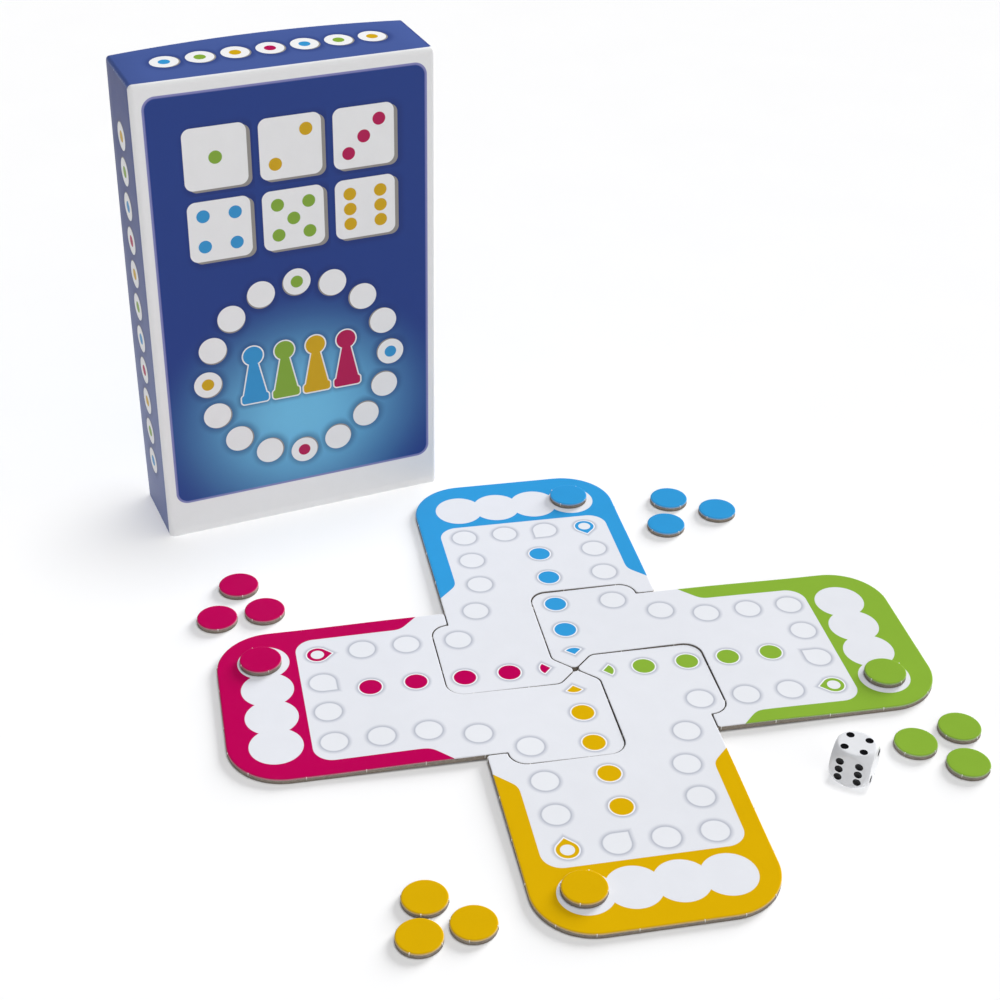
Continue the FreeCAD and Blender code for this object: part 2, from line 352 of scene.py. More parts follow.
def folded_box(low, high, closed_y, rim_y, bows):
    """Shell of a folded box that is closed at one end of Y: its points, and faces with their finishes.

    Finishes 0 to 3 are the right, top, left and bottom walls, 4 the closed face and 5 the lining.
    """
    width, height = high.x - low.x, high.z - low.z
    middle = (low + high) / 2
    way = 1 if rim_y > closed_y else -1
    depth = abs(rim_y - closed_y)
    rim = WALL / 2
    straight = depth - rim - FOLD_RADIUS
    profile = [(FOLD_RADIUS + LINING_STEP, 0.0, 4)]
    for step in range(EDGE_STEPS + 1):
        angle = math.radians(90 * step / EDGE_STEPS)
        finish = 4 if step == 0 else None
        profile.append((FOLD_RADIUS * (1 - math.sin(angle)), FOLD_RADIUS * (1 - math.cos(angle)), finish))
    for step in range(1, DEPTH_STEPS + 1):
        profile.append((0.0, FOLD_RADIUS + straight * step / DEPTH_STEPS, None))
    for step in range(1, EDGE_STEPS + 1):
        angle = math.radians(180 * step / EDGE_STEPS)
        profile.append((rim * (1 - math.cos(angle)), depth - rim + rim * math.sin(angle), None))
    for step in range(1, DEPTH_STEPS + 1):
        profile.append((WALL, depth - rim - (depth - rim - WALL) * step / DEPTH_STEPS, 5))
    profile.append((WALL + LINING_STEP, WALL, 5))
    points, faces = [], []
    rim_row = 2 + EDGE_STEPS + DEPTH_STEPS
    for row, (inset, along, _) in enumerate(profile):
        for point, wall, share in rectangle_ring(width, height, inset):
            outward = Matrix.Rotation(math.radians(90 * wall), 2) @ Vector((1, 0))
            point = point + outward * bows[wall] * share * (along / depth) ** 2
            up = point.y + height / 2
            # The box's own weight presses the fold along its foot sharper than the others
            if row < rim_row and up < FOLD_RADIUS:
                up *= FOOT_SHARE
            points.append((middle.x + point.x, closed_y + way * along, low.z + up))
    walls = [wall for _, wall, _ in rectangle_ring(width, height, 0)]
    count = len(walls)
    for ring, (_, _, finish) in enumerate(profile[1:]):
        for here, corners in band(ring * count, (ring + 1) * count, count):
            faces.append((corners[::-way], walls[here] if finish is None else finish))
    faces.append((list(range(count))[::way], 4))
    faces.append((list(range(len(points) - count, len(points)))[::-way], 5))
    return points, faces


BOX_WHITE = ink(244, 244, 245)
BOX_BLUE = ink(28, 60, 138)
BOX_DEEP_BLUE = ink(20, 40, 108)
BOX_GLOW = ink(118, 200, 240)
BOX_LINE = ink(134, 136, 192)
TILE_SIDE = ink(150, 146, 142)
PLAYER_INKS = {
    "blue": ink(50, 151, 212),
    "green": ink(134, 173, 56),
    "yellow": ink(213, 169, 3),
    "magenta": ink(184, 0, 82),
}
FRONT_WHITE = 3.6
FRONT_TOP, FRONT_FOOT = 181.7, 14.7
FRONT_CORNER = 5.0
FRONT_LINE = 0.85
lid_low, lid_high = (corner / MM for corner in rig.box("box_lid"))
player_inks = list(PLAYER_INKS.values())


def raised_tile(colour, face, side):
    """White tile over a colour, from the distances to its face and to its lower right side."""
    colour = (side.fade(-0.5, 3.6) * 0.55).mix(colour, BOX_DEEP_BLUE)
    colour = side.inside().mix(colour, TILE_SIDE)
    return face.inside().mix(colour, BOX_WHITE)


def ring_track(colour, x, y, radius, count, disc):
    """Ring of white discs, every fourth of them with a player's colour in its middle."""
    step = math.tau / count
    angle = x.math("ARCTAN2", y, x)
    number = round(angle / step)
    off = angle - number * step
    reach = hypot(x, y)
    out, across = reach * off.math("COSINE", off) - radius, reach * off.math("SINE", off)
    away = hypot(out, across)
    colour = raised_tile(colour, away - disc, hypot(out + 0.4, across - 0.4) - disc)
    owned = (away - 0.45 * disc).inside() * (number % 4 < 0.5)
    return owned.mix(colour, pick(number / 4 % 4, player_inks))


def disc_row(colour, along, across, pitch, count, disc):
    """Straight row of white discs with the players' colours in their middles in turn."""
    last = (count - 1) / 2
    number = round(along / pitch + last).most(0).least(count - 1)
    step = along - (number - last) * pitch
    away = hypot(step, across)
    colour = raised_tile(colour, away - disc, hypot(step - 0.5, across + 0.4) - disc)
    return (away - 0.42 * disc).inside().mix(colour, pick(number % 4, player_inks))


TILE, TILE_CORNER, TILE_PITCH, TILE_MIDDLE = 11.8, 3.2, 28.0, 142.5
PIP_STEP, PIP = 6.0, 2.5
TRACK_MIDDLE, TRACK_RADIUS, TRACK_DISC, TRACK_COUNT = 65.5, 37.0, 5.4, 16
PAWN_PITCH, PAWN_LAST, PAWN_HEAD, PAWN_LINE = 12.5, 1.5, 3.9, 0.55
GLOW_LEVEL, GLOW_CORE, GLOW_REACH = 45.0, 4.0, 56.0


def front_print():
    """Blue front with a pale glow, six dice faces above, and a ring track round four pawns below."""
    material, place = new_finish("box_front_print", {"Specular IOR Level": 0.3})
    x, _, z = place.axes()
    glow = hypot(x * 0.9, z - GLOW_LEVEL).fade(GLOW_CORE, GLOW_REACH)
    colour = (glow * 0.95).mix(BOX_BLUE, BOX_GLOW)
    # Dice faces, numbered 1 to 6 along two rows
    column = round(x / TILE_PITCH).most(-1).least(1)
    low_row = z < TILE_MIDDLE
    u, v = x - column * TILE_PITCH, z - TILE_MIDDLE + TILE_PITCH * (low_row - 0.5)
    colour = raised_tile(colour, rounded_box(u, v, TILE, TILE, TILE_CORNER),
                         rounded_box(u - 1.4, v + 0.9, TILE, TILE, TILE_CORNER))
    score = column + 2 + 3 * low_row
    slant = u * v
    paired = ((slant > 0) * (score > 1.5)).most((slant < 0) * (score > 3.5))
    corners = (hypot(abs(u) - PIP_STEP, abs(v) - PIP_STEP) - PIP).inside() * paired
    centre = (hypot(u, v) - PIP).inside() * (score % 2)
    sides = (hypot(abs(u) - PIP_STEP, v) - PIP).inside() * (score > 5.5)
    colour = corners.most(centre).most(sides).mix(colour, pick(score % 4, player_inks))
    # Track and pawns
    y = z - TRACK_MIDDLE
    colour = ring_track(colour, x, y, TRACK_RADIUS, TRACK_COUNT, TRACK_DISC)
    number = round(x / PAWN_PITCH + PAWN_LAST).most(0).least(2 * PAWN_LAST)
    u = x - (number - PAWN_LAST) * PAWN_PITCH
    head = hypot(u, y - 9.0) - PAWN_HEAD
    skirt = (abs(u) - (4.6 - 0.21 * (y + 8.0))).most(abs(y + 1.0) - 8.0)
    foot = rounded_box(u, y + 9.6, 5.4, 1.9, 1.2)
    pawn = head.least(skirt).least(foot)
    colour = (pawn.fade(0, 3.0) * 0.5).mix(colour, BOX_DEEP_BLUE)
    colour = (pawn - PAWN_LINE).inside().mix(colour, BOX_WHITE)
    colour = pawn.inside().mix(colour, pick(number, player_inks))
    # White border of the wrap, with a fine violet line round the blue
    panel = rounded_box(x, z - (FRONT_TOP + FRONT_FOOT) / 2, lid_high.x - FRONT_WHITE,
                        (FRONT_TOP - FRONT_FOOT) / 2, FRONT_CORNER)
    colour = (panel + FRONT_LINE).inside(0.6).mix(BOX_LINE, colour)
    colour = panel.inside(0.3).mix(BOX_WHITE, colour)
    laminated(material, place, colour)
    return material


# Side blues: the top's blue and a paler one at the foot, which is painted light from the table
SIDE_BLUES_WITH_PAINTED_LIGHT = ink(33, 57, 131), ink(100, 115, 168)
TOP_BLUES = (ink(70, 92, 158),) * 2
WALL_DISC, WALL_DISC_LEVEL = 5.2, 2.4
SIDE_WHITE, TOP_WHITE = 3.0, 2.4
SIDE_ROW, TOP_ROW = ("z", 13.6, 11), ("x", 13.0, 7)
RUB_REACH, RUB_SHARE = 0.7, 0.3


def wall_print(name, blues, white, row):
    """Blue wall, paler to its foot in painted light from the table, with the front's white over its edge.

    Row gives its discs' axis, pitch and count.
    """
    material, place = new_finish(name, {"Specular IOR Level": 0.3})
    x, y, z = place.axes()
    # Painted light: where the two blues differ, the wall pales towards its foot as if lit from the table below
    colour = z.fade(0, lid_high.z).mix(*blues)
    end = lid_high.x - abs(x)
    if row:
        axis, pitch, count = row
        along = {"x": x, "z": z - lid_high.z / 2}[axis]
        end = {"x": lid_high.x, "z": lid_high.z / 2}[axis] - abs(along)
        colour = disc_row(colour, along, y - WALL_DISC_LEVEL, pitch, count, WALL_DISC)
    # Ink rubbed off to the paper in specks where the wrap turns over an edge
    rub = ((place.noise(1.3, 4.0) - 0.58) * 9).most(0).least(1)
    near_edge = end.least(lid_high.y - y).fade(0.0, RUB_REACH)
    colour = (rub * near_edge * RUB_SHARE).mix(colour, BOX_WHITE)
    colour = (y - (lid_low.y + white)).inside(0.25).mix(colour, BOX_WHITE)
    laminated(material, place, colour)
    return material


def plain_paper(name, colour, fibre):
    """Uncoated paper or board: matt, with darker and lighter fibres."""
    material, place = new_finish(name, {"Specular IOR Level": 0.2})
    coarse, fine = place.noise(0.35, 4.0), place.noise(4.0, 4.0)
    feed(material, {
        "Base Color": (0.5 * coarse + 0.7 * fine - 0.1).mix(colour, fibre),
        "Roughness": 0.78 + 0.15 * fine,
        "Normal": relief(0.03 * fine + 0.05 * coarse),
    })
    return material


lining_paper = plain_paper("box_lining_paper", ink(210, 207, 200), ink(228, 226, 220))
side_wall = wall_print("box_side_print", SIDE_BLUES_WITH_PAINTED_LIGHT, SIDE_WHITE, SIDE_ROW)
top_wall = wall_print("box_top_print", TOP_BLUES, TOP_WHITE, TOP_ROW)
foot_wall = wall_print("box_foot_print", TOP_BLUES, TOP_WHITE, None)
lid_finishes = [side_wall, top_wall, side_wall, foot_wall, front_print(), lining_paper]
lid_shell = folded_box(lid_low, lid_high, lid_low.y, lid_high.y, LID_BOWS)
box_lid = new_piece("box_lid_wrap", *lid_shell, lid_finishes, "box_lid", "box_lid", "box_wrap")

# Box tray: the same folded greyboard under plain white paper, with a printed sheet on its outer floor.
# It is pushed into the lid until its floor is flush with the lid's rim.
BACK_TRACK, BACK_DISC = 38.0, 5.6
BACK_WHITE = 6.4
tray_low, tray_high = (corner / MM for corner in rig.box("box_tray"))
tray_half = (tray_high - tray_low) / 2


def back_print():
    """Printed floor of the tray, which is the back of the box: a ring track on blue."""
    material, place = new_finish("box_back_print", {"Specular IOR Level": 0.3})
    x, _, z = place.axes()
    y = z - (tray_low.z + tray_high.z) / 2
    colour = (hypot(x, y).fade(10, 80) * 0.8).mix(BOX_BLUE, BOX_GLOW)
    colour = ring_track(colour, x, y, BACK_TRACK, TRACK_COUNT, BACK_DISC)
    panel = rounded_box(x, y, tray_half.x - BACK_WHITE, tray_half.z - BACK_WHITE, FRONT_CORNER)
    colour = (panel + FRONT_LINE).inside(0.6).mix(BOX_LINE, colour)
    colour = panel.inside(0.3).mix(BOX_WHITE, colour)
    laminated(material, place, colour)
    return material


tray_paper = plain_paper("tray_wrap_paper", ink(220, 220, 218), ink(238, 238, 237))
box_tray = new_piece("box_tray_wrap", *folded_box(tray_low, tray_high, tray_high.y, tray_low.y, (0.0,) * 4),
                     [tray_paper] * 4 + [back_print(), lining_paper], "box_tray", "box_tray", "tray_wrap")

# Rules leaflet: one sheet of thin paper folded once, leaning on the tray's floor.
# Its front leaf stands a little open, as a fresh fold does.
LEAF = 0.27
LEAF_STEPS, FOLD_STEPS, LEAF_LEVELS = 18, 10, 13
LEAF_OPENING = 2.4
leaflet_low, leaflet_high = (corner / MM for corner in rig.box("rules_leaflet"))


def leaflet_print():
    """Rules in grey lines round a small plan of the board, under a blue band."""
    material, place = new_finish("leaflet_print", {"Specular IOR Level": 0.3})
    x, _, z = place.axes()
    down = leaflet_high.z - z
    wave, fibre = place.noise(0.05, 2.0), place.noise(6.0, 3.0)
    colour = fibre.mix(ink(228, 227, 222), ink(242, 241, 237))
    words = (place.vector("MULTIPLY", place, (0.5, 0.0, 3.0)).noise(1.0, 1.0) > 0.4) * (down % 3.4 > 2.2)
    words = words * (abs(abs(x) - 22) < 18) * (abs(down - 75) < 53)
    colour = (words * 0.62).mix(colour, ink(96, 98, 104))
    plan_x, plan_y = abs(x), abs(down - 74)
    plan = (plan_x.least(plan_y) - 4.2).most(plan_x.most(plan_y) - 14)
    colour = (plan - 2.5).inside().mix(colour, ink(236, 235, 231))
    colour = plan.inside().mix(colour, ink(150, 176, 214))
    colour = (abs(down - 11) - 4.5).most(abs(x) - 42).inside().mix(colour, BOX_BLUE)
    feed(material, {
        "Base Color": colour,
        "Roughness": 0.6 + 0.2 * fibre,
        "Normal": relief(0.02 * fibre + 1.5 * wave),
    })
    return material


def folded_sheet():
    """Sheet folded at its left edge: its points in levels up from the foot, and its faces."""
    fold = (leaflet_high.y - leaflet_low.y) / 2
    start = leaflet_low.x + fold
    length = leaflet_high.x - start
    outer = []
    for step in range(LEAF_STEPS + 1):
        share = 1 - step / LEAF_STEPS
        outer.append(Vector((start + length * share, leaflet_low.y - LEAF_OPENING * share ** 1.6)))
    for step in range(1, FOLD_STEPS):
        angle = math.radians(180 * step / FOLD_STEPS)
        outer.append(Vector((start - fold * math.sin(angle), leaflet_low.y + fold * (1 - math.cos(angle)))))
    for step in range(LEAF_STEPS + 1):
        outer.append(Vector((start + length * step / LEAF_STEPS, leaflet_high.y)))
    inner = []
    for step, point in enumerate(outer):
        along = (outer[min(step + 1, len(outer) - 1)] - outer[max(step - 1, 0)]).normalized()
        inner.append(point + Vector((along.y, -along.x)) * LEAF)
    loop = outer + inner[::-1]
    count = len(loop)
    points, faces = [], []
    for level in range(LEAF_LEVELS):
        z = leaflet_low.z + (leaflet_high.z - leaflet_low.z) * level / (LEAF_LEVELS - 1)
        points += [(*point, z) for point in loop]
    for level in range(LEAF_LEVELS - 1):
        faces += [(corners[::-1], 0) for _, corners in band(level * count, (level + 1) * count, count)]
    for first, way in ((0, 1), (len(points) - count, -1)):
        for here in range(len(outer) - 1):
            corners = [here, here + 1, count - here - 2, count - here - 1]
            faces.append(([first + corner for corner in corners[::way]], 0))
    return points, faces


leaflet = new_piece("rules_leaflet_sheet", *folded_sheet(), [leaflet_print()], "rules_leaflet", "box_tray",
                    "leaflet_paper")

# Board panels: four like pieces of greyboard with a printed sheet glued on, punched out of one frame.
# Each reaches round the middle with a key that locks in the next one's socket. The punch draws the
# print down over the edge, and leaves torn white nicks where the piece was held in its frame.
BOARD = 2.0
ARM_WIDTH, ARM_REACH, ARM_RADIUS = 81.0, 126.5, 20.0
SEAM_OFFSET, SEAM_GAP, SEAM_RADIUS, TIP_RADIUS = 7.2, 0.5, 4.0, 2.0
KEY_DEPTH, KEY_INSET, KEY_RADIUS = 7.0, 7.2, 6.3
LEG_RADIUS, ROOT_RADIUS = 1.0, 0.5
BOARD_TURN = -11.9
OUTER_RIM, SEAM_RIM, PRINT_STEP = 0.5, 0.18, 0.45
PAPER = 0.04
OUTLINE_STEP = 2.5
NICK_REACHES = (7.7, 23.1, 36.2, 55.9, 75.6, 95.3, 115.0, 134.7, 154.4, 174.1, 193.8)
ARCH, ARCH_START, ARCH_END, ARCH_PARTS = 0.42, 58.0, 98.0, 18
BOARD_GLOSS = 0.07
half_arm, half_gap, slant_gap = ARM_WIDTH / 2, SEAM_GAP / 2, SEAM_GAP / math.sqrt(2)
key_reach, key_side = half_arm + KEY_DEPTH, half_arm - KEY_INSET
key_foot, socket_side = half_gap - SEAM_OFFSET, -SEAM_OFFSET - half_gap
panel_corners = [
    (-slant_gap, 0, TIP_RADIUS, SEAM_RIM),
    (socket_side, -socket_side - slant_gap, SEAM_RADIUS + half_gap, SEAM_RIM),
    (socket_side, key_reach + half_gap, KEY_RADIUS + half_gap, SEAM_RIM),
    (key_side + half_gap, key_reach + half_gap, KEY_RADIUS + half_gap, SEAM_RIM),
    (key_side + half_gap, half_arm + SEAM_GAP, LEG_RADIUS, SEAM_RIM),
    (half_arm, half_arm + SEAM_GAP, LEG_RADIUS, SEAM_RIM),
    (half_arm, ARM_REACH, ARM_RADIUS, OUTER_RIM),
    (-half_arm, ARM_REACH, ARM_RADIUS, OUTER_RIM),
    (-half_arm, key_side - half_gap, ROOT_RADIUS, SEAM_RIM),
    (half_gap - key_reach, key_side - half_gap, KEY_RADIUS - half_gap, SEAM_RIM),
    (half_gap - key_reach, key_foot, KEY_RADIUS - half_gap, SEAM_RIM),
    (key_foot - slant_gap, key_foot, SEAM_RADIUS - half_gap, SEAM_RIM),
]


def rounded_outline(corners):
    """Outline with rounded corners: each point, its outward direction and the radius of its rim."""
    arcs = []
    for number, (x, y, radius, rim) in enumerate(corners):
        corner = Vector((x, y))
        to_last = (Vector(corners[number - 1][:2]) - corner).normalized()
        to_next = (Vector(corners[(number + 1) % len(corners)][:2]) - corner).normalized()
        half_angle = to_last.angle(to_next) / 2
        centre = corner + (to_last + to_next).normalized() * radius / math.sin(half_angle)
        start = corner + to_last * radius / math.tan(half_angle) - centre
        end = corner + to_next * radius / math.tan(half_angle) - centre
        sweep = math.atan2(start.cross(end), start.dot(end))
        steps = max(6, round(abs(sweep) * radius))
        arc = []
        for step in range(steps + 1):
            spoke = Matrix.Rotation(sweep * step / steps, 2) @ start
            arc.append((centre + spoke, spoke.normalized() * math.copysign(1, sweep), rim))
        arcs.append(arc)
    outline = []
    for arc, following in zip(arcs, arcs[1:] + arcs[:1]):
        (first, _, first_rim), (last, _, last_rim) = arc[-1], following[0]
        outward = Vector((last.y - first.y, first.x - last.x)).normalized()
        parts = max(1, round((last - first).length / OUTLINE_STEP))
        outline += arc
        for part in range(1, parts):
            share = part / parts
            outline.append((first.lerp(last, share), outward, first_rim + (last_rim - first_rim) * share))
    return outline


def punched(outline, nicks, draws):
    """Punched piece of printed board: its points, and faces with their finishes.

    Finishes 0 to 3 are the print, the cut edge, the back and the torn paper. A nick is the number of
    a point of the outline. Rows give inset and height, each as a length and a share of the rim.
    """
    rows = [(0.7, 0, 0.0, 0, 2), (0.12, 0, 0.0, 0, 2), (0.03, 0, 0.05, 0, 1), (0.0, 0, 0.16, 0, 1),
            (0.0, 0, 0.65, 0, 1), (0.0, 0, 1.1, 0, 1), (0.0, 0, BOARD - PAPER, -1, 1), (0.0, 0, BOARD, -1, 3)]
    for step in range(1, EDGE_STEPS + 1):
        angle = math.radians(90 * step / EDGE_STEPS)
        rows.append((0.0, 1 - math.cos(angle), BOARD, math.sin(angle) - 1, 0))
    rows.append((PRINT_STEP, 1, BOARD, 0, 0))
    count = len(outline)
    points, faces = [], []
    for inset, rim_inset, height, rim_height, finish in rows:
        for point, outward, rim in outline:
            ragged = draws.uniform(0, 0.035) if finish == 1 else 0
            inward = inset + rim * rim_inset + ragged
            points.append((*(point - outward * inward), height + rim * rim_height))
    for ring, (*_, finish) in enumerate(rows[1:]):
        faces += [(corners, finish) for _, corners in band(ring * count, (ring + 1) * count, count)]
    faces.append((list(range(count))[::-1], 2))
    faces.append((list(range(len(points) - count, len(points))), 0))
    for nick in nicks:
        add_nick(points, faces, *outline[nick], draws)
    return points, faces


def add_nick(points, faces, foot, out, rim, draws):
    """Torn stub of board and paper that held the piece in its frame."""
    along = Vector((-out.y, out.x))
    half, proud = draws.uniform(0.14, 0.2), draws.uniform(0.1, 0.26)
    low, high = draws.uniform(0.3, 0.6), BOARD - rim * draws.uniform(0.1, 0.3)
    first = len(points)
    levels = ((low, 0.2, proud * 0.6), (BOARD * 0.6, 0.2, proud), (high, 0.2 + rim / 2, proud * 0.7))
    for z, inner, outer in levels:
        for side, reach in ((half, -inner), (half * 0.7, outer), (-half * 0.8, outer), (-half, -inner)):
            points.append((*(foot + along * side + out * reach), z))
    for ring in (first, first + 4):
        faces += [(corners[::-1], 3) for _, corners in band(ring, ring + 4, 4)]
    faces.append(([first, first + 1, first + 2, first + 3], 3))
    faces.append(([first + 11, first + 10, first + 9, first + 8], 3))


def point_along(outline, start, reach, way):
    """Number of the outline's point that lies so far along it from the start."""
    here, gone = start, 0.0
    while gone < reach:
        there = (here + way) % len(outline)
        gone += (outline[there][0] - outline[here][0]).length
        here = there
    return here


def smooth_step(share):
    share = min(max(share, 0.0), 1.0)
    return share * share * (3 - 2 * share)


def arch(panel):
    """Bow the panel up between its key, which lies low in its socket, and its arm's end."""
    form = bmesh.new()
    form.from_mesh(panel.data)
    for part in range(ARCH_PARTS + 1):
        y = key_foot + (ARCH_END - key_foot) * part / ARCH_PARTS
        bmesh.ops.bisect_plane(form, geom=[*form.verts, *form.edges, *form.faces], dist=1e-7,
                               plane_co=(0, y * MM, 0), plane_no=(0, 1, 0))
    for vert in form.verts:
        y = vert.co.y / MM
        up, down = (y - key_foot) / (key_reach - key_foot), (y - ARCH_START) / (ARCH_END - ARCH_START)
        vert.co.z += ARCH * MM * smooth_step(up) * (1 - smooth_step(down))
    form.to_mesh(panel.data)
    form.free()


def cut_edge():
    """Cut side of the board: grey-brown pulp in layers, with painted shade darker near the back."""
    material, place = new_finish("cut_board_edge", {"Specular IOR Level": 0.1})
    _, _, z = place.axes()
    fibre = place.vector("MULTIPLY", place, (0.7, 0.7, 5.0)).noise(1.2, 5.0)
    lumps = place.noise(0.6, 3.0)
    colour = (fibre * 2.4 - 0.7).mix(ink(118, 108, 98), ink(184, 174, 161))
    colour = (lumps * 0.5).mix(colour, ink(146, 136, 124))
    # Painted shade: the edge darkens towards the back, where it lies on what carries it
    colour = (z.fade(0.1, 1.1) * 0.4).mix(colour, ink(92, 83, 74))
    feed(material, {
        "Base Color": colour,
        "Roughness": 0.8 + 0.15 * fibre,
        "Normal": relief(0.12 * fibre),
    })
    return material


def torn_paper():
    """Torn edge of the glued sheet: white fibres on top, and grey pulp pulled out below them."""
    material, place = new_finish("torn_paper_edge", {"Specular IOR Level": 0.1})
    _, _, z = place.axes()
    fibre = place.noise(5.0, 4.0)
    feed(material, {
        "Base Color": (z.fade(0.6, 1.7) - 0.4 + 0.8 * fibre).mix(ink(240, 238, 234), ink(150, 142, 131)),
        "Roughness": 0.8 + 0.15 * fibre,
        "Normal": relief(0.1 * fibre),
    })
    return material


FIELD_WHITE = ink(223, 225, 231)
SPACE_WHITE = ink(226, 228, 233)
OUTLINE_WHITE = ink(237, 238, 241)
HALO = ink(132, 138, 158)
FIELD_HALF, FIELD_TOP, FIELD_LENGTH, FIELD_CORNER = 33.6, 97.0, 120.0, 7.0
FIELD_WAIST, FIELD_BEND = 91.3, 3.0
COLUMN, INNER_COLUMN = 24.45, 8.15
ROWS = (89.4, 73.15, 56.85)
SPACES = [(-COLUMN, ROWS[0]), (-INNER_COLUMN, ROWS[0]), (-COLUMN, ROWS[1]), (COLUMN, ROWS[1]),
          (-COLUMN, ROWS[2]), (COLUMN, ROWS[2]), (-29.2, 40.4), (-38.8, 24.3)]
SPACE, SPACE_LINE = 5.05, 0.25
PATH, PATH_WHITE = 2.5, 0.5
DOT = 4.0
START, START_HOLE = 3.75, 2.4
WEDGE, WEDGE_TIP, WEDGE_HALF = 3.7, -9.2, math.radians(47)
HOME, HOME_PITCH, HOME_ROW = 9.3, 15.4, 109.0


def stretched_rim_and_highlight(place, colour):
    """Print that pales where the punch has drawn it down over the rim, with a painted highlight along the rim."""
    _, _, level = place.node("ShaderNodeTexCoord", {}, {}, "Normal").axes()
    # Painted highlight: faces tilted at the rim mix towards white, partly stretched film and partly the light the rim
    # catches
    return (level.fade(0.45, 0.97) * 0.24).mix(colour, OUTLINE_WHITE)


def panel_print(colour, own, guest, shift):
    """Print of one panel: its colour round a white field with spaces, and a guest's path on its key."""
    material, place = new_finish(f"{colour}_panel_print", {"Specular IOR Level": BOARD_GLOSS})
    moved = place.vector("MULTIPLY_ADD", place, (1, 1, 0), (-shift[0], -shift[1], 0))
    x, y, _ = moved.axes()

    def nearest(spots):
        away = (moved.vector("DISTANCE", moved, (*spot, 0), output="Value") for spot in spots)
        return reduce(Shade.least, away)

    # White field with cut-in shoulders, and the row of home spaces beyond it
    arm = rounded_box(x, y - (FIELD_TOP - FIELD_LENGTH / 2), FIELD_HALF, FIELD_LENGTH / 2, FIELD_CORNER)
    field = arm.math("SMOOTH_MIN", arm, (abs(x) + y - FIELD_WAIST) * math.sqrt(0.5), FIELD_BEND)
    homes = nearest([((number - 1.5) * HOME_PITCH, HOME_ROW) for number in range(4)]) - HOME
    shade = field.least(homes).inside().mix(own, FIELD_WHITE)
    # Plain spaces, one of them with a square corner, as grey rings with a soft shadow
    square = abs(x - INNER_COLUMN + SPACE / 2).most(abs(y - ROWS[0] + SPACE / 2)) - SPACE / 2
    space = nearest(SPACES + [(INNER_COLUMN, ROWS[0])]) - SPACE
    space = space.least(square)
    shade = (space.fade(-0.6, 1.6) * 0.52).mix(shade, HALO)
    shade = (space + SPACE_LINE).inside(0.3).mix(shade, SPACE_WHITE)
    shade = ((abs(space + SPACE_LINE) - SPACE_LINE).inside(0.3) * 0.3).mix(shade, HALO)
    # Own path with its start, a drop that points to the middle, and the guest's path with its last wedge
    u, v = x - COLUMN, y - ROWS[0]
    left, right = (u - v) * math.sqrt(0.5) - START / 2, (u + v) * -math.sqrt(0.5) - START / 2
    start = (hypot(u, v) - START).least(abs(left).most(abs(right)) - START / 2)
    path = (nearest([(PATH, ROWS[1]), (PATH, ROWS[2])]) - DOT).least(start)
    u, v = x - WEDGE_TIP, abs(y - PATH)
    wedge = (hypot(u, v) - WEDGE).most(v * math.cos(WEDGE_HALF) + u * math.sin(WEDGE_HALF))
    visit = (nearest([(-40.4, PATH), (-24.2, PATH)]) - DOT).least(wedge)
    edge = path.least(visit) - PATH_WHITE
    shade = (edge.fade(-0.3, 1.6) * 0.6).mix(shade, HALO)
    shade = edge.inside(0.25).mix(shade, OUTLINE_WHITE)
    shade = path.inside().mix(shade, own)
    shade = visit.inside().mix(shade, guest)
    shade = (nearest([(COLUMN, ROWS[0])]) - START_HOLE).inside().mix(shade, SPACE_WHITE)
    laminated(material, place, stretched_rim_and_highlight(place, shade))
    return material


PRINT_SHIFTS = {"blue": (0.35, -0.3), "green": (0.7, -0.85), "yellow": (-0.35, 0.2), "magenta": (0.0, 0.75)}
board_edge = cut_edge()
board_back = plain_paper("board_back_paper", ink(150, 142, 132), ink(178, 171, 161))
sheet_edge = torn_paper()
under_print = [board_edge, board_back, sheet_edge]
panel_boxes = [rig.box(f"{colour}_panel") for colour in PLAYER_INKS]
board_middle = sum((low + high for low, high in panel_boxes), Vector()) / (2 * len(panel_boxes))
board_middle.z = panel_boxes[0][0].z
panel_outline = rounded_outline(panel_corners)
arm_end = Vector((0, ARM_REACH))
arm_middle = min(range(len(panel_outline)), key=lambda here: (panel_outline[here][0] - arm_end).length)
nick_places = [(reach, way) for reach in NICK_REACHES for way in (1, -1)]
panel_nicks = [point_along(panel_outline, arm_middle, reach, way) for reach, way in nick_places]
for quarter, (colour, own) in enumerate(PLAYER_INKS.items()):
    turn = Matrix.Rotation(math.radians(BOARD_TURN - 90 * quarter), 4, "Z")
    print_face = panel_print(colour, own, player_inks[quarter - 1], PRINT_SHIFTS[colour])
    panel = new_piece(f"{colour}_panel_board", *punched(panel_outline, panel_nicks, random.Random(quarter)),
                      [print_face, *under_print], f"{colour}_panel", f"{colour}_panel", f"{colour}_print",
                      Matrix.Translation(board_middle) @ turn)
    arch(panel)

# Counters: sixteen discs punched from the same printed board, four in each player's colour.
# They lie loose, one on each arm's last home space and three beside the arm.
COUNTER = 15.0
COUNTER_STEPS = 96
COUNTER_NICKS = 4
spoke_angles = [math.tau * step / COUNTER_STEPS for step in range(COUNTER_STEPS)]
spokes = [Matrix.Rotation(angle, 2) @ Vector((1, 0)) for angle in spoke_angles]
counter_outline = [(spoke * COUNTER / 2, spoke, OUTER_RIM) for spoke in spokes]


def own_shade(own):
    """The ink as it dries a shade deeper."""
    return (*(0.95 * level for level in own[:3]), 1.0)


def counter_print(colour, own):
    """Plain ink all over the counter, mottled a little where the sheet took it up unevenly."""
    material, place = new_finish(f"{colour}_counter_print", {"Specular IOR Level": BOARD_GLOSS})
    mottle = place.noise(1.6, 3.0)
    laminated(material, place, stretched_rim_and_highlight(place, mottle.mix(own, own_shade(own))))
    return material


